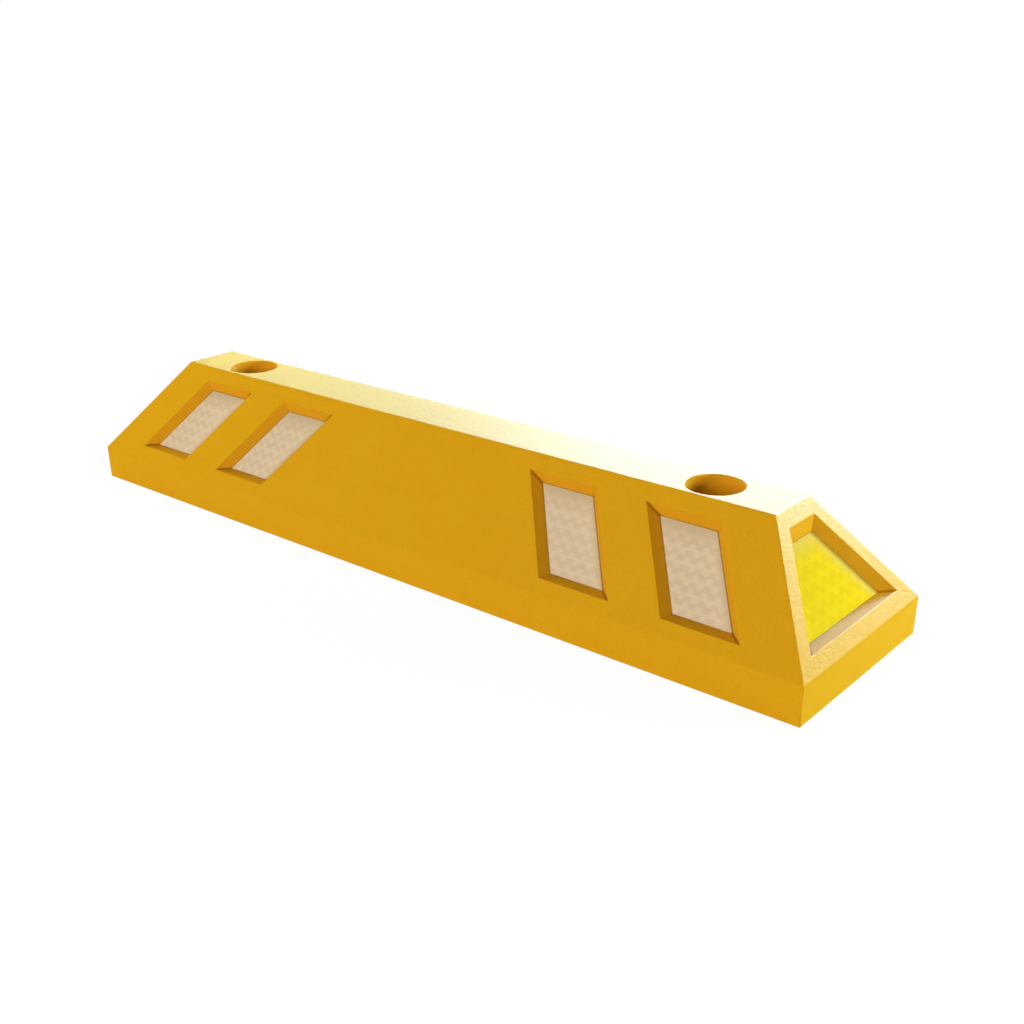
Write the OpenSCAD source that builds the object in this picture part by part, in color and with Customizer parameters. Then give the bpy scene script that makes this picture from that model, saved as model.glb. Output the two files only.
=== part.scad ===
// Flexible lane divider: a moulded block with a hipped top, reflector panels
// set into its sloping faces, and two deep wells for the anchors that hold it
// to the road. Millimetres. X runs along the block, Y across it, and Z up from
// the road. The origin is the middle of the underside.

/* [Body] */
// Overall length
body_l = 1000; // [800:10:1400]
// Overall width, measured where the skirt meets the slopes
body_w = 233; // [230:1:300]
// Overall height
body_h = 150; // [125:1:190]
// Height of the upright skirt below the slopes
skirt_h = 40; // [25:1:60]
// How far the foot of the skirt stands in from its top edge
skirt_draft = 0.7; // [0:0.1:3]
// Horizontal run of each long slope
side_run = 83.5; // [65:0.5:85]
// Horizontal run of each end slope
end_run = 82; // [50:0.5:120]

/* [Side reflectors] */
// Reflectors on each half of a long slope
panels_per_half = 2; // [1:1:2]
// Width of a recess, square to its leaning sides
panel_w = 72; // [50:1:85]
// Distance between neighbouring recesses, square to their sides
panel_gap = 50; // [25:1:60]
// Distance from the outermost recess to the hip edge
hip_margin = 50; // [20:1:60]
// Distance from the skirt up to a side recess
side_low_margin = 16.6; // [8:0.1:30]
// Distance from the flat top down to a side recess
side_high_margin = 18.4; // [8:0.1:30]
// Depth of the reflector's face below the long slope
side_depth = 9; // [4:0.5:13]
// How far each side recess narrows between the slope and the reflector
side_flare = 8; // [1:0.1:12]

/* [End reflectors] */
// Distance from an end recess to all four edges of the end slope
end_margin = 16.7; // [8:0.1:24]
// Depth of the reflector's face below the end slope
end_depth = 9.5; // [4:0.5:15]
// How far the bottom wall of an end recess leans in
end_low_flare = 7.4; // [1:0.1:15]
// How far each side wall of an end recess leans in
end_side_flare = 9.8; // [1:0.1:14]
// How far the top wall of an end recess leans in
end_high_flare = 13.3; // [1:0.1:20]

/* [Reflector layers] */
// Thickness of the reflective sheeting
sheet_t = 1; // [0.5:0.1:3]
// Thickness of the stiff plate that carries the sheeting
plate_t = 2; // [1:0.1:5]
// Width of the ledge between a recess's leaning walls and the seat in its floor
seat_ledge = 0.3; // [0.1:0.1:2]
// Gap between a reflector and the rim of its seat
seat_gap = 0.2; // [0.1:0.1:1]

/* [Anchor wells] */
// Distance from the end of the flat top to a well's centre
well_inset = 82.5; // [40:0.5:150]
// Diameter of a well
well_d = 58; // [46:1:62]
// Height of a well's floor above the road
well_floor_h = 40; // [20:1:80]

/* [Anchor bushes] */
// Bore of the bush, which clears an M16 anchor
bush_bore_d = 18; // [10:0.5:24]
// Wall of the bush's sleeve
bush_wall = 4; // [2:0.5:5]
// Thickness of the bush's flange, which is let into the floor of the well
flange_t = 4; // [2:0.5:10]
// Width of the floor left around the flange
well_ledge = 4; // [1:0.5:6]
// How far the sleeve ends above the road
bush_foot_gap = 2; // [0.5:0.5:5]
// Gap between the bush and its seat in the body
bush_fit = 0.1; // [0.05:0.05:0.5]

/* [Hidden] */
$fn = 96;
// How far a cut runs past the face that it opens
over = 1;
// How far two cuts that meet overlap
lap = 0.1;
// Further than any recess reaches along its face
reach = body_l;

// Slopes, each measured up its own face from the skirt to the flat top
rise = body_h - skirt_h;
top_l = body_l - 2 * end_run;
top_w = body_w - 2 * side_run;
side_slope = norm([side_run, rise]);
end_slope = norm([end_run, rise]);
side_lean = atan2(rise, side_run);
end_lean = atan2(rise, end_run);

// A hip edge seen square to each face: how far it moves in for each step up
side_hip = end_run / side_slope;
end_hip = side_run / end_slope;
// Length along the skirt that a distance square to the hip edge takes up
side_skew = norm([1, side_hip]);
end_skew = norm([1, end_hip]);

panel_pitch = panel_w + panel_gap;
seat_t = plate_t + sheet_t;
side_flares = [side_flare, side_flare, side_flare, side_flare];
end_flares = [end_low_flare, end_side_flare, end_high_flare, end_side_flare];

well_x = top_l / 2 - well_inset;
flange_d = well_d - 2 * well_ledge;
sleeve_d = bush_bore_d + 2 * bush_wall;

RUBBER = [0.86, 0.61, 0.09];
WHITE_SHEETING = [0.84, 0.76, 0.62];
YELLOW_SHEETING = [0.94, 0.88, 0.12];
ALUMINIUM = [0.74, 0.75, 0.77];
STEEL = [0.58, 0.59, 0.61];

// Each face of the block, as the turn about Z that brings the front face to it
FRONT = 0;
RIGHT = 90;
REAR = 180;
LEFT = 270;
LONG_FACES = [["front", FRONT], ["rear", REAR]];
END_FACES = [["right", RIGHT], ["left", LEFT]];
WELLS = [["left", -1], ["right", 1]];
PANELS = [1 : 2 * panels_per_half];

// Outlines are lists of corners that run anticlockwise on a face, where x runs
// along the foot of the slope and y up the slope.

function direction(from, to) = (to - from) / norm(to - from);

// The outline moved in by one distance for each edge, from corner i to i + 1
function inset_outline(outline, insets) = [
    for (i = [0 : len(outline) - 1])
        let (
            last = (i + len(outline) - 1) % len(outline),
            next = (i + 1) % len(outline),
            arriving = direction(outline[last], outline[i]),
            leaving = direction(outline[i], outline[next]),
            step = leaving * insets[last] - arriving * insets[i]
        )
        outline[i] + step / cross(arriving, leaving)
];

function even_inset(outline, inset) = inset_outline(outline, [for (corner = outline) inset]);

function mirrored(outline) = [
    for (i = [len(outline) - 1 : -1 : 0]) [-outline[i][0], outline[i][1]]
];

// Recess number `place` from the hip on the right half: its sides lean with the hip
function right_side_outline(place) =
    let (
        outer = body_l / 2 - (hip_margin + place * panel_pitch) * side_skew,
        inner = outer - panel_w * side_skew,
        low = side_low_margin,
        high = side_slope - side_high_margin
    )
    [
        [inner - side_hip * low, low],
        [outer - side_hip * low, low],
        [outer - side_hip * high, high],
        [inner - side_hip * high, high]
    ];

// Recesses are numbered from left to right as the face is looked at
function side_outline(i) = i > panels_per_half
    ? right_side_outline(2 * panels_per_half - i)
    : mirrored(right_side_outline(i - 1));

// Half the width of an end recess at a distance up the slope
function end_half_width(up) = body_w / 2 - end_margin * end_skew - end_hip * up;

function end_outline() =
    let (
        low = end_margin,
        high = end_slope - end_margin,
        low_half = end_half_width(low),
        high_half = end_half_width(high)
    )
    [[-low_half, low], [low_half, low], [high_half, high], [-high_half, high]];

// The rim of the seat in a recess's floor
function seat_outline(outline, flares) = even_inset(inset_outline(outline, flares), seat_ledge);

// The sheeting and its plate, clear of that rim
function side_layer_outline(i) =
    even_inset(seat_outline(side_outline(i), side_flares), seat_gap);
function end_layer_outline() =
    even_inset(seat_outline(end_outline(), end_flares), seat_gap);

// Puts children on a long slope: z = 0 is the face, and z grows outwards
module on_side(turn) {
    rotate([0, 0, turn])
        translate([0, -body_w / 2, skirt_h])
            rotate([side_lean, 0, 0])
                children();
}

// Puts children on an end slope in the same way
module on_end(turn) {
    rotate([0, 0, turn])
        translate([0, -body_l / 2, skirt_h])
            rotate([end_lean, 0, 0])
                children();
}

// The space to the left of the line from one corner to the next, whose wall
// leans in by `flare` at `depth` below the face
module inside_of_wall(from, to, flare, depth) {
    run = to - from;
    translate([from[0], from[1], 0])
        rotate([0, 0, atan2(run[1], run[0])])
            rotate([atan2(flare, depth), 0, 0])
                translate([-reach, 0, -reach])
                    cube(2 * reach);
}

// A recess that narrows from the outline on the face down to the reflector
module flared_recess(outline, flares, depth) {
    corners = len(outline);
    intersection() {
        translate([-reach, -reach, -depth])
            cube([2 * reach, 2 * reach, depth + over]);
        intersection_for (i = [0 : corners - 1])
            inside_of_wall(outline[i], outline[(i + 1) % corners], flares[i], depth);
    }
}

// A flat layer in the seat, between two depths below the face
module layer(outline, from_depth, thickness) {
    translate([0, 0, -from_depth - thickness])
        linear_extrude(height = thickness)
            polygon(outline);
}

// The recess and the straight-walled seat under it, as one cut
module reflector_cut(outline, flares, depth) {
    flared_recess(outline, flares, depth);
    layer(seat_outline(outline, flares), depth - lap, seat_t + lap);
}

// The block itself, where two prisms cross: one along it and one across it
module hipped_block() {
    foot_l = body_l / 2 - skirt_draft;
    foot_w = body_w / 2 - skirt_draft;
    intersection() {
        rotate([90, 0, 90])
            linear_extrude(height = body_l, center = true)
                polygon([
                    [-foot_w, 0], [foot_w, 0], [body_w / 2, skirt_h],
                    [top_w / 2, body_h], [-top_w / 2, body_h], [-body_w / 2, skirt_h]
                ]);
        rotate([90, 0, 0])
            linear_extrude(height = body_w, center = true)
                polygon([
                    [-foot_l, 0], [foot_l, 0], [body_l / 2, skirt_h],
                    [top_l / 2, body_h], [-top_l / 2, body_h], [-body_l / 2, skirt_h]
                ]);
    }
}

// An anchor well, with the stepped seat through its floor for the bush
module well_cut() {
    translate([0, 0, well_floor_h])
        cylinder(d = well_d, h = body_h - well_floor_h + over);
    translate([0, 0, well_floor_h - flange_t])
        cylinder(d = flange_d + 2 * bush_fit, h = flange_t + over);
    translate([0, 0, -over])
        cylinder(d = sleeve_d + 2 * bush_fit, h = well_floor_h + over);
}

module body() {
    color(RUBBER)
        difference() {
            hipped_block();
            for (face = LONG_FACES, i = PANELS)
                on_side(face[1])
                    reflector_cut(side_outline(i), side_flares, side_depth);
            for (face = END_FACES)
                on_end(face[1])
                    reflector_cut(end_outline(), end_flares, end_depth);
            for (well = WELLS)
                translate([well[1] * well_x, 0, 0])
                    well_cut();
        }
}

module side_reflector(turn, i) {
    color(WHITE_SHEETING)
        on_side(turn)
            layer(side_layer_outline(i), side_depth, sheet_t);
}

module side_backing_plate(turn, i) {
    color(ALUMINIUM)
        on_side(turn)
            layer(side_layer_outline(i), side_depth + sheet_t, plate_t);
}

module end_reflector(turn) {
    color(YELLOW_SHEETING)
        on_end(turn)
            layer(end_layer_outline(), end_depth, sheet_t);
}

module end_backing_plate(turn) {
    color(ALUMINIUM)
        on_end(turn)
            layer(end_layer_outline(), end_depth + sheet_t, plate_t);
}

// A flanged steel sleeve that takes the anchor's clamping load off the block
module anchor_bush(side) {
    color(STEEL)
        translate([side * well_x, 0, 0])
            difference() {
                union() {
                    translate([0, 0, well_floor_h - flange_t])
                        cylinder(d = flange_d, h = flange_t);
                    translate([0, 0, bush_foot_gap])
                        cylinder(d = sleeve_d, h = well_floor_h - bush_foot_gap);
                }
                cylinder(d = bush_bore_d, h = body_h);
            }
}

body();

for (face = LONG_FACES, i = PANELS) {
    side_reflector(face[1], i);
    side_backing_plate(face[1], i);
}

for (face = END_FACES) {
    end_reflector(face[1]);
    end_backing_plate(face[1]);
}

for (well = WELLS) {
    anchor_bush(well[1]);
}
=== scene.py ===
import math

import bmesh
import bpy
from mathutils import Matrix, Vector


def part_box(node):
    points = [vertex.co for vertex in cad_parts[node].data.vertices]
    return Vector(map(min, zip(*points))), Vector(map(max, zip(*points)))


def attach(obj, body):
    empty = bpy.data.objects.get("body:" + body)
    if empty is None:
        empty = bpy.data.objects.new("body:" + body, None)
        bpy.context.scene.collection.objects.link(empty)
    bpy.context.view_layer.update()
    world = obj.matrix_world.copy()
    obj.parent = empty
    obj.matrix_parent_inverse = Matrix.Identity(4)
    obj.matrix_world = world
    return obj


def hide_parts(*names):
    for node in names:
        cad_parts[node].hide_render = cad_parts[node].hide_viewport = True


# Flexible lane divider: a moulded rubber block with sheets of reflective film
# in its sloping faces and a steel bush in the floor of each of its two wells.
# Metres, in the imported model's frame: X along the block, Y across it, Z up.

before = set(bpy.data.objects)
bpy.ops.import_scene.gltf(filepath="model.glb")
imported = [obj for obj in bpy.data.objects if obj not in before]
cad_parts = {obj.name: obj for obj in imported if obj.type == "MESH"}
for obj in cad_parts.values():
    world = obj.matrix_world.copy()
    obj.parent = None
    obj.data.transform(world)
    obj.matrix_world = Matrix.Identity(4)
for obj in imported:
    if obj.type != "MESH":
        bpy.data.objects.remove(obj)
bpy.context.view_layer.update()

MM = 0.001

# Sizes of the block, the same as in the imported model
block_low, block_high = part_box("body")
LENGTH, WIDTH, HEIGHT = block_high - block_low
SKIRT_H = 40 * MM
SKIRT_DRAFT = 0.7 * MM
SIDE_RUN = 83.5 * MM
END_RUN = 82 * MM

# Recesses in the long slopes
PANEL_W = 72 * MM
PANEL_GAP = 50 * MM
HIP_MARGIN = 50 * MM
SIDE_LOW_MARGIN = 16.6 * MM
SIDE_HIGH_MARGIN = 18.4 * MM
SIDE_DEPTH = 9 * MM
SIDE_FLARES = [8 * MM] * 4

# Recesses in the end slopes, with the flares of the bottom, right, top and left walls
END_MARGIN = 16.7 * MM
END_DEPTH = 9.5 * MM
END_FLARES = [7.4 * MM, 9.8 * MM, 13.3 * MM, 9.8 * MM]

# The seat in the floor of each recess, for the sheeting and its plate
SEAT_LEDGE = 0.3 * MM
SEAT_T = 3 * MM

# Wells and the seats of their bushes
WELL_X = 335.5 * MM
WELL_R = 29 * MM
WELL_FLOOR_H = 40 * MM
BUSH_FIT = 0.1 * MM
BUSH_BORE_R = 9 * MM
bush_low, bush_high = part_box("right_anchor_bush")
FLANGE_R = (bush_high.y - bush_low.y) / 2
FLANGE_T = 4 * MM
SLEEVE_R = 13 * MM
BUSH_CHAMFER = 0.6 * MM
BUSH_ROUNDING = 0.15 * MM
ROUND_STEPS = 128

# The rise of the slopes, the flat top between them and their lengths from foot to head
RISE = HEIGHT - SKIRT_H
TOP_L = LENGTH - 2 * END_RUN
TOP_W = WIDTH - 2 * SIDE_RUN
SIDE_SLOPE = math.hypot(SIDE_RUN, RISE)
END_SLOPE = math.hypot(END_RUN, RISE)

# How far a hip leans in for each metre up the slope, and how much longer a line along the foot is
# than the distance that it spans square to the hip
SIDE_HIP = END_RUN / SIDE_SLOPE
END_HIP = SIDE_RUN / END_SLOPE
SIDE_SKEW = math.hypot(1, SIDE_HIP)
END_SKEW = math.hypot(1, END_HIP)

# What each face belongs to. The smooth kinds take the second material of the block.
UNDERSIDE, SKIRT, SLOPE, TOP, RECESS, SEAT, WELL, WELL_FLOOR, BUSH = range(9)
SMOOTH = (RECESS, SEAT, WELL, WELL_FLOOR)

# How far the mould rounds the edge between two kinds of face
ROUNDINGS = {
    frozenset((SKIRT,)): 1 * MM,
    frozenset((SKIRT, SLOPE)): 1 * MM,
    frozenset((SLOPE,)): 1 * MM,
    frozenset((SLOPE, TOP)): 1 * MM,
    frozenset((SKIRT, UNDERSIDE)): 0.6 * MM,
    frozenset((SLOPE, RECESS)): 0.4 * MM,
    frozenset((RECESS,)): 0.5 * MM,
    frozenset((TOP, WELL)): 1.4 * MM,
    frozenset((WELL, WELL_FLOOR)): 1 * MM,
}
LARGEST_ROUNDING = max(ROUNDINGS.values())
ROUNDING_STEPS = 4
FLAT_ANGLE = math.radians(10)

# Rounding of the bushes, sheets and plates, at edges sharper than an angle
SHEET_ROUNDING = 0.08 * MM
FINE_STEPS = 2
SHARP_ANGLE = math.radians(30)

# Points nearer than this are one point
MERGE = 0.001 * MM


def place_on_slope(turn, reach, run):
    """Takes (u, v, w) to the frame: u along a slope's foot, v up the slope, w out of it."""
    lean = Matrix.Rotation(math.atan2(RISE, run), 4, "X")
    return Matrix.Rotation(math.radians(turn), 4, "Z") @ Matrix.Translation((0, -reach, SKIRT_H)) @ lean


FRONT, RIGHT, REAR, LEFT = 0, 90, 180, 270
LONG_SLOPES = {turn: place_on_slope(turn, WIDTH / 2, SIDE_RUN) for turn in (FRONT, REAR)}
END_SLOPES = {turn: place_on_slope(turn, LENGTH / 2, END_RUN) for turn in (RIGHT, LEFT)}


def on_slope(place, outline, w=0.0):
    """The points of an outline in the frame, w out of the slope."""
    return [place @ Vector((p.x, p.y, w)) for p in outline]


def inset_outline(outline, insets):
    """The outline moved in by one distance for each edge, from corner i to i + 1."""
    moved = []
    for i, corner in enumerate(outline):
        arriving = (corner - outline[i - 1]).normalized()
        leaving = (outline[(i + 1) % len(outline)] - corner).normalized()
        step = leaving * insets[i - 1] - arriving * insets[i]
        moved.append(corner + step / arriving.cross(leaving))
    return moved


def side_outlines():
    """The four recesses of a long slope, from left to right."""
    low, high = SIDE_LOW_MARGIN, SIDE_SLOPE - SIDE_HIGH_MARGIN
    right_half = []
    for number in (1, 0):
        outer = LENGTH / 2 - (HIP_MARGIN + number * (PANEL_W + PANEL_GAP)) * SIDE_SKEW
        inner = outer - PANEL_W * SIDE_SKEW
        corners = ((inner, low), (outer, low), (outer, high), (inner, high))
        right_half.append([Vector((foot - SIDE_HIP * v, v)) for foot, v in corners])
    left_half = [[Vector((-p.x, p.y)) for p in (o[1], o[0], o[3], o[2])] for o in reversed(right_half)]
    return left_half + right_half


def end_outline():
    def half_width(v):
        return WIDTH / 2 - END_MARGIN * END_SKEW - END_HIP * v

    low, high = END_MARGIN, END_SLOPE - END_MARGIN
    corners = ((-1, low), (1, low), (1, high), (-1, high))
    return [Vector((side * half_width(v), v)) for side, v in corners]


class Shell:
    """A closed mesh put together from faces, each of a known kind."""

    def __init__(self):
        self.bm = bmesh.new()
        self.kind = self.bm.faces.layers.int.new("kind")

    def face(self, points, kind):
        made = self.bm.faces.new([self.bm.verts.new(p) for p in points])
        made[self.kind] = kind
        made.material_index = int(kind in SMOOTH)

    def band(self, lower, upper, kind):
        """A strip of quads between two closed loops of as many points."""
        for i in range(len(lower)):
            self.face([lower[i - 1], lower[i], upper[i], upper[i - 1]], kind)

    def close(self):
        bmesh.ops.remove_doubles(self.bm, verts=self.bm.verts, dist=MERGE)
        bmesh.ops.recalc_face_normals(self.bm, faces=self.bm.faces)

    def weigh_edges(self):
        """Gives each real edge its share of the largest rounding."""
        weight = self.bm.edges.layers.float.new("bevel_weight_edge")
        for edge in self.bm.edges:
            if edge.calc_face_angle() > FLAT_ANGLE:
                kinds = frozenset(face[self.kind] for face in edge.link_faces)
                edge[weight] = ROUNDINGS.get(kinds, 0) / LARGEST_ROUNDING

    def to_object(self, name):
        mesh = bpy.data.meshes.new(name)
        self.bm.to_mesh(mesh)
        self.bm.free()
        mesh.shade_smooth()
        made = bpy.data.objects.new(name, mesh)
        bpy.context.scene.collection.objects.link(made)
        return made


def circle(x, radius, z):
    steps = [2 * math.pi * i / ROUND_STEPS for i in range(ROUND_STEPS)]
    return [Vector((x + radius * math.cos(a), radius * math.sin(a), z)) for a in steps]


def recess(shell, place, outline, flares, depth):
    """A recess with leaning walls, and in its floor the seat of the sheeting."""
    floor = inset_outline(outline, flares)
    seat = inset_outline(floor, [SEAT_LEDGE] * len(floor))
    floor_rim = on_slope(place, floor, -depth)
    seat_rim = on_slope(place, seat, -depth)
    seat_floor = on_slope(place, seat, -depth - SEAT_T)
    shell.band(on_slope(place, outline), floor_rim, RECESS)
    shell.band(floor_rim, seat_rim, SEAT)
    shell.band(seat_rim, seat_floor, SEAT)
    shell.face(seat_floor, SEAT)


def slope(shell, place, half_foot, half_top, length, outlines, flares, depth):
    """A sloping face with a row of recesses. Corners 0 to 3 of each run anticlockwise from low left."""
    low_left, low_right = Vector((-half_foot, 0)), Vector((half_foot, 0))
    high_right, high_left = Vector((half_top, length)), Vector((-half_top, length))
    low_chain = [corner for outline in outlines for corner in outline[0:2]]
    high_chain = [corner for outline in outlines for corner in (outline[3], outline[2])]
    pieces = [
        [low_left, low_right] + low_chain[::-1],
        [high_right, high_left] + high_chain,
        [low_left, low_chain[0], high_chain[0], high_left],
        [low_right, high_right, high_chain[-1], low_chain[-1]],
    ]
    for i in range(1, len(low_chain) - 1, 2):
        pieces.append([low_chain[i], low_chain[i + 1], high_chain[i + 1], high_chain[i]])
    for piece in pieces:
        shell.face(on_slope(place, piece), SLOPE)
    for outline in outlines:
        recess(shell, place, outline, flares, depth)


def pierced_plane(shell, half_l, half_w, z, radius, kind):
    """A level face with two round holes, as two halves and a triangle at each end."""
    half = ROUND_STEPS // 2
    left, right = circle(-WELL_X, radius, z), circle(WELL_X, radius, z)
    corners = {(x, y): Vector((x * half_l, y * half_w, z)) for x in (-1, 1) for y in (-1, 1)}
    rear_left, rear_right = left[half::-1], right[half::-1]
    front_left, front_right = left[half:] + left[:1], right[half:] + right[:1]
    shell.face([corners[-1, 1]] + rear_left + rear_right + [corners[1, 1]], kind)
    shell.face([corners[-1, -1]] + front_left + front_right + [corners[1, -1]], kind)
    shell.face([corners[-1, 1], corners[-1, -1], left[half]], kind)
    shell.face([corners[1, 1], corners[1, -1], right[0]], kind)


def well(shell, x):
    """A well down to its floor, with the stepped seat of the bush through that floor."""
    seat_r, sleeve_r = FLANGE_R + BUSH_FIT, SLEEVE_R + BUSH_FIT
    seat_h = WELL_FLOOR_H - FLANGE_T
    loops = [
        (WELL_R, HEIGHT, WELL),
        (WELL_R, WELL_FLOOR_H, WELL_FLOOR),
        (seat_r, WELL_FLOOR_H, SEAT),
        (seat_r, seat_h, SEAT),
        (sleeve_r, seat_h, SEAT),
        (sleeve_r, 0, SEAT),
    ]
    for (r, z, kind), (next_r, next_z, _) in zip(loops, loops[1:]):
        shell.band(circle(x, r, z), circle(x, next_r, next_z), kind)


def skirt(shell):
    foot_l, foot_w = LENGTH / 2 - SKIRT_DRAFT, WIDTH / 2 - SKIRT_DRAFT
    signs = ((-1, -1), (1, -1), (1, 1), (-1, 1))
    foot = [Vector((x * foot_l, y * foot_w, 0)) for x, y in signs]
    head = [Vector((x * LENGTH / 2, y * WIDTH / 2, SKIRT_H)) for x, y in signs]
    shell.band(foot, head, SKIRT)
    pierced_plane(shell, foot_l, foot_w, 0, SLEEVE_R + BUSH_FIT, UNDERSIDE)


def make_block():
    shell = Shell()
    skirt(shell)
    for place in LONG_SLOPES.values():
        slope(shell, place, LENGTH / 2, TOP_L / 2, SIDE_SLOPE, side_outlines(), SIDE_FLARES, SIDE_DEPTH)
    for place in END_SLOPES.values():
        slope(shell, place, WIDTH / 2, TOP_W / 2, END_SLOPE, [end_outline()], END_FLARES, END_DEPTH)
    pierced_plane(shell, TOP_L / 2, TOP_W / 2, HEIGHT, WELL_R, TOP)
    for x in (-WELL_X, WELL_X):
        well(shell, x)
    shell.close()
    shell.weigh_edges()
    block = shell.to_object("rubber_block")
    round_edges(block, LARGEST_ROUNDING, ROUNDING_STEPS, limit_method="WEIGHT")
    return block


def round_edges(piece, width, steps, **settings):
    """Rounds edges with a bevel, and keeps the shading of the flat faces flat."""
    bevel = piece.modifiers.new("rounding", "BEVEL")
    bevel.width = width
    bevel.segments = steps
    bevel.use_clamp_overlap = False
    for name, value in settings.items():
        setattr(bevel, name, value)
    piece.modifiers.new("normals", "WEIGHTED_NORMAL")


def round_sharp_edges(piece, width):
    round_edges(piece, width, FINE_STEPS, limit_method="ANGLE", angle_limit=SHARP_ANGLE)


def make_bush(side, x):
    """A flanged sleeve, turned about its own axis, with a chamfer on each edge that shows."""
    seat_h, foot_h, cut = WELL_FLOOR_H - FLANGE_T, bush_low.z, BUSH_CHAMFER
    profile = [
        (BUSH_BORE_R, foot_h + cut),
        (BUSH_BORE_R, WELL_FLOOR_H - cut),
        (BUSH_BORE_R + cut, WELL_FLOOR_H),
        (FLANGE_R - cut, WELL_FLOOR_H),
        (FLANGE_R, WELL_FLOOR_H - cut),
        (FLANGE_R, seat_h),
        (SLEEVE_R, seat_h),
        (SLEEVE_R, foot_h + cut),
        (SLEEVE_R - cut, foot_h),
        (BUSH_BORE_R + cut, foot_h),
    ]
    shell = Shell()
    for i, (r, z) in enumerate(profile):
        last_r, last_z = profile[i - 1]
        shell.band(circle(x, last_r, last_z), circle(x, r, z), BUSH)
    shell.close()
    bush = shell.to_object(side + "_bush")
    round_sharp_edges(bush, BUSH_ROUNDING)
    return bush


# Materials

def colour(red, green, blue):
    """A colour given from 0 to 255 as a screen shows it, in Blender's linear values."""
    def linear(value):
        share = value / 255
        return share / 12.92 if share <= 0.04045 else ((share + 0.055) / 1.055) ** 2.4

    return (linear(red), linear(green), linear(blue), 1.0)


class Finish:
    """One material and the nodes that make it up."""

    def __init__(self, name):
        self.material = bpy.data.materials.new(name)
        self.material.use_nodes = True
        self.tree = self.material.node_tree
        self.tree.nodes.clear()
        self.place = self.add("ShaderNodeTexCoord").outputs["Object"]

    def add(self, kind, inputs=None, **settings):
        made = self.tree.nodes.new(kind)
        for name, value in settings.items():
            setattr(made, name, value)
        for name, value in (inputs or {}).items():
            self.feed(made.inputs[name], value)
        return made

    def feed(self, socket, value):
        if isinstance(value, bpy.types.NodeSocket):
            self.tree.links.new(value, socket)
        else:
            socket.default_value = value

    def math(self, operation, *values):
        made = self.add("ShaderNodeMath", operation=operation)
        for socket, value in zip(made.inputs, values):
            self.feed(socket, value)
        return made.outputs[0]

    def noise(self, size, detail=2.0, roughness=0.5, distortion=0.0, place=None):
        """Noise from 0 to 1 whose features are about `size` metres across."""
        settings = {
            "Vector": place or self.place,
            "Scale": 1 / size,
            "Detail": detail,
            "Roughness": roughness,
            "Distortion": distortion,
        }
        return self.add("ShaderNodeTexNoise", settings).outputs["Fac"]

    def spread(self, value, low, high, to_low=0.0, to_high=1.0, smooth=False):
        """Turns low to high into to_low to to_high, and holds the value there beyond either end."""
        ends = {"From Min": low, "From Max": high, "To Min": to_low, "To Max": to_high}
        kind = "SMOOTHSTEP" if smooth else "LINEAR"
        made = self.add("ShaderNodeMapRange", {"Value": value, **ends}, interpolation_type=kind)
        return made.outputs["Result"]

    def mix(self, share, first, second, blend="MIX"):
        made = self.add("ShaderNodeMix", data_type="RGBA", blend_type=blend)
        self.feed(made.inputs["Factor"], share)
        for socket, value in zip([s for s in made.inputs if s.type == "RGBA"], (first, second)):
            self.feed(socket, value)
        return next(s for s in made.outputs if s.type == "RGBA")

    def along(self, direction):
        """How far a point lies along a direction, in metres."""
        dot = self.add("ShaderNodeVectorMath", operation="DOT_PRODUCT")
        self.feed(dot.inputs[0], self.place)
        self.feed(dot.inputs[1], direction)
        return dot.outputs["Value"]

    def stretched(self, scale):
        """Places scaled along each axis, so that noise runs longer along the axes scaled least."""
        return self.add("ShaderNodeMapping", {"Vector": self.place, "Scale": scale}).outputs["Vector"]

    def openness(self, reach, samples=12):
        """How open a point lies to what is within `reach` metres: 1 on a flat face, less in a corner."""
        return self.add("ShaderNodeAmbientOcclusion", {"Distance": reach}, samples=samples).outputs["AO"]

    def bump(self, height):
        """A normal from a height in metres."""
        made = self.add("ShaderNodeBump", {"Height": height, "Strength": 1.0, "Distance": 1.0})
        return made.outputs["Normal"]

    def surface(self, **inputs):
        """The shader itself. Underscores in the names stand for spaces."""
        named = {name.replace("_", " "): value for name, value in inputs.items()}
        shader = self.add("ShaderNodeBsdfPrincipled", named)
        output = self.add("ShaderNodeOutputMaterial")
        self.tree.links.new(shader.outputs["BSDF"], output.inputs["Surface"])
        return self.material


# Rubber: how far across its marks are, and how strongly they show
CLOUDS = 45 * MM
SPECKS = 2.4 * MM
SPECK_SHARE = 0.25
SPECK_TONE = colour(214, 163, 12)
# Painted shade in the rubber's corners: how far it looks for nearby faces, the openness over which the
# shade fades out, and the tone it darkens by
CORNER_SHADE_REACH = 4 * MM
DARKEST_OPENNESS, LIGHT_OPENNESS = 0.70, 0.87
CORNER_SHADE_TONE = colour(174, 150, 100)
GRAIN = 5 * MM
GRAIN_STRETCH = (1, 1, 1.6)
FOLDS = 20 * MM
FOLD_STRETCH = (1, 1, 2.2)
FOLD_WIDTH = 0.12
FOLD_SHARE = 0.36
FOLDED_PATCHES = 30 * MM
SKIRT_GRAIN_SHARE = 0.25
SKIRT_FADE = 1 * MM
PORES = 1.4 * MM
SHEEN_PATCHES = 3 * MM
RUBBER_ROUGHNESS = (0.54, 0.64)


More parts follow.
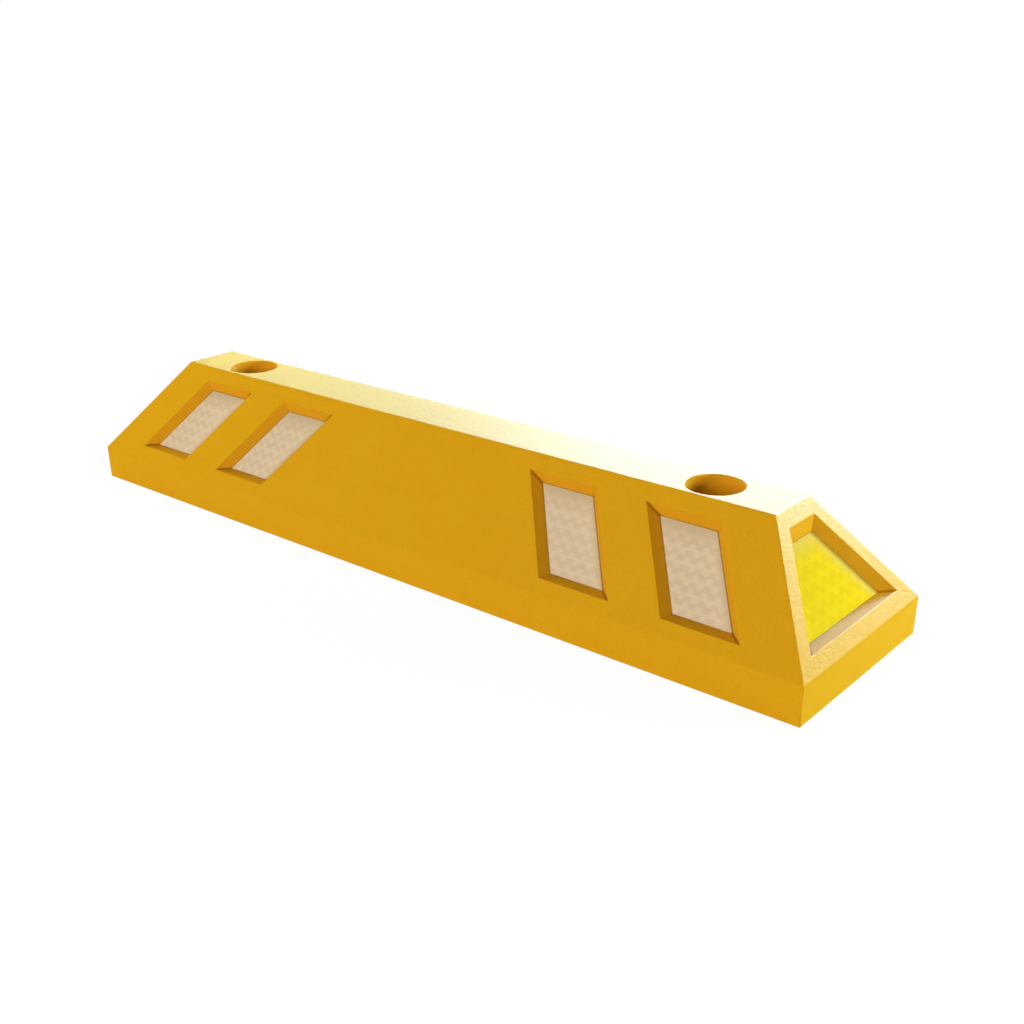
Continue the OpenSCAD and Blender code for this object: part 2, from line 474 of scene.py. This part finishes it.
def rubber_tone(f, first, second, painted_corner_shade):
    """Clouds from the first tone to the second, with darker specks and, where asked, painted shade that
    darkens the corners, where the surface is less open.
    """
    clouds = f.spread(f.noise(CLOUDS, detail=3), 0.35, 0.65)
    tone = f.mix(clouds, first, second)
    specks = f.spread(f.noise(SPECKS, detail=2), 0.35, 0.75)
    tone = f.mix(f.math("MULTIPLY", specks, SPECK_SHARE), tone, SPECK_TONE)
    if not painted_corner_shade:
        return tone
    # Painted shade: darker where a point is less open to the faces near it
    corners = f.spread(f.openness(CORNER_SHADE_REACH), DARKEST_OPENNESS, LIGHT_OPENNESS, 1, 0)
    return f.mix(corners, tone, CORNER_SHADE_TONE, blend="MULTIPLY")


def rubber_height(f, leather, pores):
    """A grain and patches of folds that run level round the block and are fainter on its skirt, and
    fine pores all over."""
    grain = f.noise(GRAIN, detail=3, distortion=0.4, place=f.stretched(GRAIN_STRETCH))
    swell = f.noise(FOLDS, detail=1, distortion=0.5, place=f.stretched(FOLD_STRETCH))
    from_fold = f.math("ABSOLUTE", f.math("SUBTRACT", swell, 0.5))
    folds = f.spread(from_fold, 0, FOLD_WIDTH, 1, 0, smooth=True)
    folded = f.spread(f.noise(FOLDED_PATCHES, detail=1), 0.4, 0.7)
    low, high = SKIRT_H - SKIRT_FADE, SKIRT_H + SKIRT_FADE
    above_skirt = f.spread(f.along((0, 0, 1)), low, high, SKIRT_GRAIN_SHARE, 1, smooth=True)
    height = f.math("MULTIPLY", grain, f.math("MULTIPLY", above_skirt, leather))
    fold_height = f.math("MULTIPLY", above_skirt, -FOLD_SHARE * leather)
    height = f.math("MULTIPLY_ADD", f.math("MULTIPLY", folds, folded), fold_height, height)
    return f.math("MULTIPLY_ADD", f.noise(PORES), pores, height)


def rubber(name, leather, pores, first, second, gloss, painted_corner_shade=False):
    """Self-coloured moulded rubber. `leather` and `pores` are the heights of its grain and of its
    pores in metres, and `first` and `second` are the tones that it is clouded with. Where asked,
    painted shade darkens its corners."""
    f = Finish(name)
    tone = rubber_tone(f, first, second, painted_corner_shade)
    relief = f.bump(rubber_height(f, leather, pores))
    roughness = f.spread(f.noise(SHEEN_PATCHES, detail=3), 0.3, 0.7, *RUBBER_ROUGHNESS)
    return f.surface(Base_Color=tone, Roughness=roughness, Normal=relief, Specular_IOR_Level=gloss)


# Film: the slope of a tooth's side and the reach of the two rows of a band, as shares of a tooth and
# of a band
TOOTH_SIDE = (0.22, 0.66)
LOWER_ROW = (0.1, 0.56)
UPPER_ROW = (0.44, 0.9)
ROW_SOFTNESS = 0.1

# Film: how far across its uneven patches are, and how strongly its marks show
WANDER = 1 * MM
WANDER_PATCHES = 5 * MM
BLUR_PATCHES = 14 * MM
BLUREST_SHARE = 0.65
PITS_IN_PALE, PITS_IN_DARK = 0.2, 0.95
RIB_PATCHES = 16 * MM
# How the painted shade from the recess walls fades in from the right and top edges
WALL_SHADE_FADE = 1.5
FILM_RELIEF = 0.03 * MM
FILM_ROUGHNESS = (0.14, 0.2)
FILM_GLOSS = 0.004


def within(f, value, start, end, softness):
    """1 from start to end and 0 beyond, with soft steps."""
    up, down = (f.spread(value, at - softness, at + softness, smooth=True) for at in (start, end))
    return f.math("SUBTRACT", up, down)


def teeth(f, across, up, width, height):
    """Bands of teeth, staggered by half a tooth, as the cells of the film show. `across` and `up`
    are how far a point lies past the middle of a tooth of the upper row and of its band."""
    column = f.math("FRACT", f.math("DIVIDE", across, width))
    swing = f.math("ABSOLUTE", f.math("MULTIPLY_ADD", column, 2.0, -1.0))
    foot, head = TOOTH_SIDE
    upper_teeth = f.spread(swing, foot, head, smooth=True)
    lower_teeth = f.spread(swing, 1 - foot, 1 - head, smooth=True)
    row = f.math("FRACT", f.math("ADD", f.math("DIVIDE", up, height), 0.5))
    lower = f.math("MULTIPLY", within(f, row, *LOWER_ROW, ROW_SOFTNESS), lower_teeth)
    upper = f.math("MULTIPLY", within(f, row, *UPPER_ROW, ROW_SOFTNESS), upper_teeth)
    return f.math("ADD", lower, upper)


def weave(f, across, up, pitch):
    """A fine square mesh of pits, from 0 to 1."""
    waves = [f.math("SINE", f.math("MULTIPLY", way, 2 * math.pi / pitch)) for way in (across, up)]
    return f.spread(f.math("ADD", *waves), -2, 2)


def edge_distances(f, place, outline):
    """How far a point of a sheet lies from each of its edges: bottom, right, top and left."""
    distances = []
    for i, corner in enumerate(outline):
        edge = (outline[(i + 1) % len(outline)] - corner).normalized()
        inwards = place.to_3x3() @ Vector((-edge.y, edge.x, 0))
        start = inwards.dot(place @ Vector((corner.x, corner.y, 0)))
        distances.append(f.math("SUBTRACT", f.along(inwards), start))
    return distances


def film_axes(f, place, look):
    """How far a point lies along the foot of its slope and up it, from a tooth and its band."""
    axes = place.to_3x3()
    distances = []
    for axis, start in ((axes.col[0], look["tooth_at"]), (axes.col[1], look["band_at"])):
        distances.append(f.math("SUBTRACT", f.along(axis), place.translation.dot(axis) + start))
    return distances


def film_cells(f, across, up, look):
    """The teeth, with slightly uneven sides."""
    wander = f.math("MULTIPLY_ADD", f.noise(WANDER_PATCHES, detail=2), 2 * WANDER, -WANDER)
    across, up = (f.math("ADD", way, wander) for way in (across, up))
    return teeth(f, across, up, look["tooth_w"], look["tooth_h"])


def pitted(f, tone, pits, depth, look):
    """The mesh of pits, which shows most in the dark of the cells."""
    share = f.math("MULTIPLY_ADD", depth, PITS_IN_DARK - PITS_IN_PALE, PITS_IN_PALE)
    share = f.math("MULTIPLY", f.math("MULTIPLY", pits, share), look["pit_share"])
    return f.mix(share, tone, look["pit"])


def ribbed(f, tone, up, look):
    """Patches of level ribs."""
    waves = f.math("SINE", f.math("MULTIPLY", up, 2 * math.pi / look["rib_pitch"]))
    ribs = f.spread(waves, -0.4, 1, smooth=True)
    share = f.spread(f.noise(RIB_PATCHES, detail=1), 0.3, 0.6, 0, look["rib_share"])
    return f.mix(f.math("MULTIPLY", ribs, share), tone, look["pit"])


def painted_wall_shade(f, tone, right, top, look):
    """Painted shade, greyed, that deepens towards the right and top edges, where the recess walls stand.
    """
    from_right = f.spread(right, 0, look["wall_shade_right"], 1, 0)
    from_top = f.spread(top, 0, look["wall_shade_top"], 1, 0)
    wall_shade = f.math("POWER", f.math("MAXIMUM", from_right, from_top), WALL_SHADE_FADE)
    return f.mix(f.math("MULTIPLY", wall_shade, look["wall_shade_share"]), tone, look["wall_shade"])


def rimmed(f, tone, bottom, right, top, left, look):
    """Painted shade along the edges, where the sheet meets the recess walls: darker within a given reach
    of each edge.
    """
    low_left = f.math("DIVIDE", f.math("MINIMUM", bottom, left), look["rim_reach"])
    right = f.math("DIVIDE", right, look["rim_right"])
    top = f.math("DIVIDE", top, look["rim_top"])
    nearest = f.math("MINIMUM", low_left, f.math("MINIMUM", right, top))
    rim = f.spread(nearest, 0.1, 1, look["rim_share"], 0, smooth=True)
    return f.mix(rim, tone, look["rim"], blend="MULTIPLY")


def sheeting(name, place, outline, look):
    """Prismatic reflective film: staggered cells, a fine mesh and ribs, with painted shade: a greyed
    shade from the recess walls and darker rims along the edges.
    """
    f = Finish(name)
    across, up = film_axes(f, place, look)
    bottom, right, top, left = edge_distances(f, place, outline)
    cells = film_cells(f, across, up, look)
    pits = weave(f, across, up, look["mesh"])
    blur = f.spread(f.noise(BLUR_PATCHES, detail=2), 0.3, 0.7, BLUREST_SHARE, 1)
    depth = f.math("MULTIPLY", cells, blur)
    tone = f.mix(depth, look["pale"], look["dark"])
    tone = pitted(f, tone, pits, depth, look)
    if "rib_share" in look:
        tone = ribbed(f, tone, up, look)
    # Painted shade from the recess walls
    tone = painted_wall_shade(f, tone, right, top, look)
    # Painted shade along the sheet's edges
    tone = rimmed(f, tone, bottom, right, top, left, look)
    height = f.math("MULTIPLY", pits, -FILM_RELIEF)
    relief = f.bump(f.math("MULTIPLY_ADD", cells, -FILM_RELIEF, height))
    roughness = f.spread(f.math("ADD", blur, cells), 0.6, 2, *FILM_ROUGHNESS)
    return f.surface(Base_Color=tone, Roughness=roughness, Normal=relief, Specular_IOR_Level=FILM_GLOSS)


METAL_PATCHES = 12 * MM
SCRATCH_STRETCH = (1, 1, 6)
SCRATCH_DEPTH = 0.02 * MM


def metal(name, tone, dull, roughness, grain):
    """Plain metal with the fine scatter of a rolled or plated surface."""
    f = Finish(name)
    patches = f.spread(f.noise(METAL_PATCHES, detail=4), 0.3, 0.7)
    scratches = f.noise(grain, detail=3, place=f.stretched(SCRATCH_STRETCH))
    shade = f.mix(patches, tone, dull)
    scatter = f.spread(scratches, 0.3, 0.7, *roughness)
    relief = f.bump(f.math("MULTIPLY", scratches, SCRATCH_DEPTH))
    return f.surface(Base_Color=shade, Metallic=1.0, Roughness=scatter, Normal=relief)


def paint(piece, *materials):
    """Puts the materials in the piece's slots. Clearing a new mesh would reset its faces' slots."""
    if piece.data.materials:
        piece.data.materials.clear()
    for material in materials:
        piece.data.materials.append(material)


def finish_block():
    """The block, leathery outside and smooth in its recesses and wells."""
    leathery = rubber(
        "leathery_rubber",
        leather=0.36 * MM,
        pores=0.04 * MM,
        first=colour(232, 186, 27),
        second=colour(233, 188, 29),
        gloss=0.020,
    )
    smooth = rubber(
        "smooth_rubber",
        leather=0.02 * MM,
        pores=0.3 * MM,
        # Tones a little darker and redder than the leathery rubber's, as painted shade for the recesses
        # and wells
        first=colour(227, 173, 31),
        second=colour(228, 175, 33),
        gloss=0.009,
        painted_corner_shade=True,
    )
    block = make_block()
    paint(block, leathery, smooth)
    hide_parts("body")
    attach(block, "root")


def finish_bushes():
    steel = metal(
        "zinc_plated_steel",
        tone=colour(150, 152, 156),
        dull=colour(122, 124, 130),
        roughness=(0.38, 0.55),
        grain=1.5 * MM,
    )
    for side, x in (("left", -WELL_X), ("right", WELL_X)):
        bush = make_bush(side, x)
        paint(bush, steel)
        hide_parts(side + "_anchor_bush")
        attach(bush, "root")


# The looks of the two films. `tooth_at` and `band_at` place one tooth and one band on the slope,
# and the lengths of the painted wall shade and of the painted edge shade say how far in from an edge
# they reach.
SIDE_FILM = {
    "pale": colour(237, 233, 191), "dark": colour(231, 226, 183),
    "tooth_w": 15 * MM, "tooth_h": 13.6 * MM, "tooth_at": 346.9 * MM, "band_at": 94.2 * MM,
    "mesh": 2.4 * MM, "pit": colour(180, 170, 118), "pit_share": 0.27,
    "wall_shade": colour(209, 202, 155), "wall_shade_share": 1.0, "wall_shade_top": 26 * MM, "wall_shade_right": 10 * MM,
    "rim": colour(190, 150, 96), "rim_share": 0.9,
    "rim_reach": 1.4 * MM, "rim_right": 1.8 * MM, "rim_top": 0.8 * MM,
}
END_FILM = {
    "pale": colour(242, 225, 35), "dark": colour(237, 218, 31),
    "tooth_w": 17.9 * MM, "tooth_h": 16.6 * MM, "tooth_at": 0.0, "band_at": 60 * MM,
    "mesh": 2.4 * MM, "pit": colour(222, 196, 10), "pit_share": 0.2,
    "rib_pitch": 2.4 * MM, "rib_share": 0.2,
    "wall_shade": colour(222, 205, 112), "wall_shade_share": 0.8, "wall_shade_top": 22 * MM, "wall_shade_right": 19 * MM,
    "rim": colour(150, 134, 60), "rim_share": 0.6,
    "rim_reach": 0.8 * MM, "rim_right": 6 * MM, "rim_top": 0.4 * MM,
}


def film_outline(outline, flares):
    """The outline of the sheet in the floor of a recess."""
    return inset_outline(inset_outline(outline, flares), [SEAT_LEDGE] * len(flares))


def finish_sheet(node, material):
    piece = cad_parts[node]
    paint(piece, material)
    piece.modifiers.new("weld", "WELD").merge_threshold = MERGE
    round_sharp_edges(piece, SHEET_ROUNDING)


def finish_sheets():
    """The films and their backing plates, each in its own recess."""
    aluminium = metal(
        "rolled_aluminium",
        tone=colour(190, 192, 196),
        dull=colour(168, 171, 176),
        roughness=(0.3, 0.45),
        grain=2 * MM,
    )
    for face, turn in (("front", FRONT), ("rear", REAR)):
        for number, outline in enumerate(side_outlines(), 1):
            name = f"{face}_reflector_{number}"
            sheet = film_outline(outline, SIDE_FLARES)
            finish_sheet(name, sheeting(name + "_film", LONG_SLOPES[turn], sheet, SIDE_FILM))
            finish_sheet(f"{face}_backing_plate_{number}", aluminium)
    for face, turn in (("right", RIGHT), ("left", LEFT)):
        sheet = film_outline(end_outline(), END_FLARES)
        film = sheeting(face + "_end_film", END_SLOPES[turn], sheet, END_FILM)
        finish_sheet(f"{face}_end_reflector", film)
        finish_sheet(f"{face}_end_backing_plate", aluminium)


# Camera, fitted to the outline, recesses and wells in the photograph's 1024 by 1024 frame

IMAGE_PX = 1024
FOCAL_PX = 1307.26
CAMERA_AT = Vector((0.9298, -1.0176, 0.58275))
CAMERA_AZIMUTH = math.radians(39.706)
CAMERA_ELEVATION = math.radians(21.591)
CAMERA_ROLL = math.radians(-0.199)
NEAREST, FARTHEST = 0.05, 60


def make_camera():
    data = bpy.data.cameras.new("camera")
    data.lens = data.sensor_width * FOCAL_PX / IMAGE_PX
    data.clip_start, data.clip_end = NEAREST, FARTHEST
    camera = bpy.data.objects.new("camera", data)
    tilt = Matrix.Rotation(math.radians(90) - CAMERA_ELEVATION, 4, "X")
    heading = Matrix.Rotation(CAMERA_AZIMUTH, 4, "Z")
    roll = Matrix.Rotation(CAMERA_ROLL, 4, "Z")
    camera.matrix_world = Matrix.Translation(CAMERA_AT) @ heading @ tilt @ roll
    bpy.context.scene.collection.objects.link(camera)
    bpy.context.scene.camera = camera


# Studio

AIM = Vector((0, 0, HEIGHT / 2))
CARD_ELEVATION = 18
CARD_DISTANCE = 2.4
CARD_W, CARD_H = 0.62, 1.1


def softbox(name, azimuth, elevation, distance, width, height, light, tint):
    """A soft lamp. Azimuth 0 stands at the front, 90 at the right; `light` is how bright it
    lights a facing surface at the block, where 1 shows a colour as it is written."""
    turn, rise = math.radians(azimuth), math.radians(elevation)
    out = math.cos(rise)
    towards = Vector((math.sin(turn) * out, -math.cos(turn) * out, math.sin(rise)))
    data = bpy.data.lights.new(name, "AREA")
    data.shape = "RECTANGLE"
    data.size, data.size_y = width, height
    data.energy = light * (math.pi * distance) ** 2
    data.color = tint
    lamp = bpy.data.objects.new(name, data)
    lamp.location = AIM + towards * distance
    lamp.rotation_mode = "QUATERNION"
    lamp.rotation_quaternion = towards.to_track_quat("Z", "Y")
    lamp.visible_camera = False
    bpy.context.scene.collection.objects.link(lamp)
    return lamp


def fill(name, **settings):
    """A softbox that doesn't show in the sheen."""
    softbox(name, **settings).visible_glossy = False


def card(name, azimuth, light, tint, width=CARD_W):
    """A lit card that shows only in the sheen."""
    lamp = softbox(name, azimuth, CARD_ELEVATION, CARD_DISTANCE, width, CARD_H, light, tint)
    lamp.visible_diffuse = False


def make_lamps():
    softbox(
        "front_softbox", azimuth=-2, elevation=20, distance=5.0, width=2.8, height=2.8,
        light=0.78, tint=(1.0, 0.785, 0.81),
    )
    fill(
        "right_softbox", azimuth=127, elevation=15, distance=3.2, width=1.3, height=1.0,
        light=0.97, tint=(0.99, 0.99, 0.95),
    )
    fill(
        "back_softbox", azimuth=184, elevation=21, distance=2.6, width=0.7, height=0.6,
        light=0.24, tint=(1.0, 0.93, 0.88),
    )
    fill(
        "left_softbox", azimuth=262, elevation=24, distance=1.1, width=0.4, height=0.4,
        light=0.33, tint=(1.0, 1.0, 0.80),
    )
    card("low_card", azimuth=122, light=3.5, tint=(0.60, 1.0, 0.90))
    card("end_card", azimuth=171, light=31.5, tint=(0.56, 0.99, 1.04))
    card("rear_card", azimuth=192, light=1.4, tint=(0.60, 0.66, 1.0))
    card("back_card", azimuth=207, light=4.7, tint=(0.78, 0.86, 1.0))
    card("top_card", azimuth=226, light=2.1, tint=(0.60, 1.0, 0.74), width=2 * CARD_W)


def sees_studio(tree):
    """1 for rays that show the background: straight, in a reflection or through glass."""
    path = tree.nodes.new("ShaderNodeLightPath")
    total = path.outputs["Is Camera Ray"]
    for ray in ("Is Glossy Ray", "Is Transmission Ray"):
        larger = tree.nodes.new("ShaderNodeMath")
        larger.operation = "MAXIMUM"
        tree.links.new(total, larger.inputs[0])
        tree.links.new(path.outputs[ray], larger.inputs[1])
        total = larger.outputs[0]
    return total


WHITE = (1.0, 1.0, 1.0, 1.0)
WORLD_FILL = 0.04
WORLD_WHITE = 1.0


def make_world():
    """White to the camera and in reflections, and a faint even fill for the rest."""
    world = bpy.data.worlds.new("studio")
    bpy.context.scene.world = world
    world.use_nodes = True
    tree = world.node_tree
    tree.nodes.clear()
    even_fill, backdrop = (tree.nodes.new("ShaderNodeBackground") for _ in range(2))
    for background, strength in ((even_fill, WORLD_FILL), (backdrop, WORLD_WHITE)):
        background.inputs["Color"].default_value = WHITE
        background.inputs["Strength"].default_value = strength
    mix = tree.nodes.new("ShaderNodeMixShader")
    tree.links.new(sees_studio(tree), mix.inputs[0])
    tree.links.new(even_fill.outputs[0], mix.inputs[1])
    tree.links.new(backdrop.outputs[0], mix.inputs[2])
    output = tree.nodes.new("ShaderNodeOutputWorld")
    tree.links.new(mix.outputs[0], output.inputs["Surface"])


# Floor: it glows to the camera, by a share that grows with the distance from the block
FLOOR_SIZE = 30.0
FLOOR_CELLS = 8
FLOOR_DROP = 0.2 * MM
FLOOR_TONE = (0.55, 0.55, 0.55, 1.0)
FLOOR_GLOW = 1.08
FADE_FROM, FADE_TO = 0.5, 1.4
GLOW_NEAR, GLOW_FAR = 0.90, 1.0


def glow_share(tree):
    """How much of the floor's look is glow. The rest keeps the shadows, and all of it lights the
    block as plain matt floor, because the share is 0 for other rays than those of the background."""
    place = tree.nodes.new("ShaderNodeTexCoord")
    reach = tree.nodes.new("ShaderNodeVectorMath")
    reach.operation = "LENGTH"
    tree.links.new(place.outputs["Object"], reach.inputs[0])
    fade = tree.nodes.new("ShaderNodeMapRange")
    for i, value in enumerate((FADE_FROM, FADE_TO, GLOW_NEAR, GLOW_FAR)):
        fade.inputs[i + 1].default_value = value
    tree.links.new(reach.outputs["Value"], fade.inputs["Value"])
    share = tree.nodes.new("ShaderNodeMath")
    share.operation = "MULTIPLY"
    tree.links.new(sees_studio(tree), share.inputs[0])
    tree.links.new(fade.outputs["Result"], share.inputs[1])
    return share.outputs[0]


def floor_material():
    material = bpy.data.materials.new("pale_floor")
    material.use_nodes = True
    tree = material.node_tree
    tree.nodes.clear()
    matt = tree.nodes.new("ShaderNodeBsdfDiffuse")
    matt.inputs["Color"].default_value = FLOOR_TONE
    glow = tree.nodes.new("ShaderNodeEmission")
    glow.inputs["Color"].default_value = WHITE
    glow.inputs["Strength"].default_value = FLOOR_GLOW
    mix = tree.nodes.new("ShaderNodeMixShader")
    tree.links.new(glow_share(tree), mix.inputs[0])
    tree.links.new(matt.outputs[0], mix.inputs[1])
    tree.links.new(glow.outputs[0], mix.inputs[2])
    output = tree.nodes.new("ShaderNodeOutputMaterial")
    tree.links.new(mix.outputs[0], output.inputs["Surface"])
    return material


def make_floor():
    """A pale floor that is nearly white to the camera and keeps the block's shadow."""
    mesh = bpy.data.meshes.new("floor")
    bm = bmesh.new()
    bmesh.ops.create_grid(bm, x_segments=FLOOR_CELLS, y_segments=FLOOR_CELLS, size=FLOOR_SIZE / 2)
    bm.to_mesh(mesh)
    bm.free()
    mesh.materials.append(floor_material())
    floor = bpy.data.objects.new("floor", mesh)
    floor.location.z = -FLOOR_DROP
    bpy.context.scene.collection.objects.link(floor)


make_camera()
finish_block()
finish_bushes()
finish_sheets()
make_world()
make_floor()
make_lamps()
bpy.context.scene.view_settings.view_transform = "Standard"
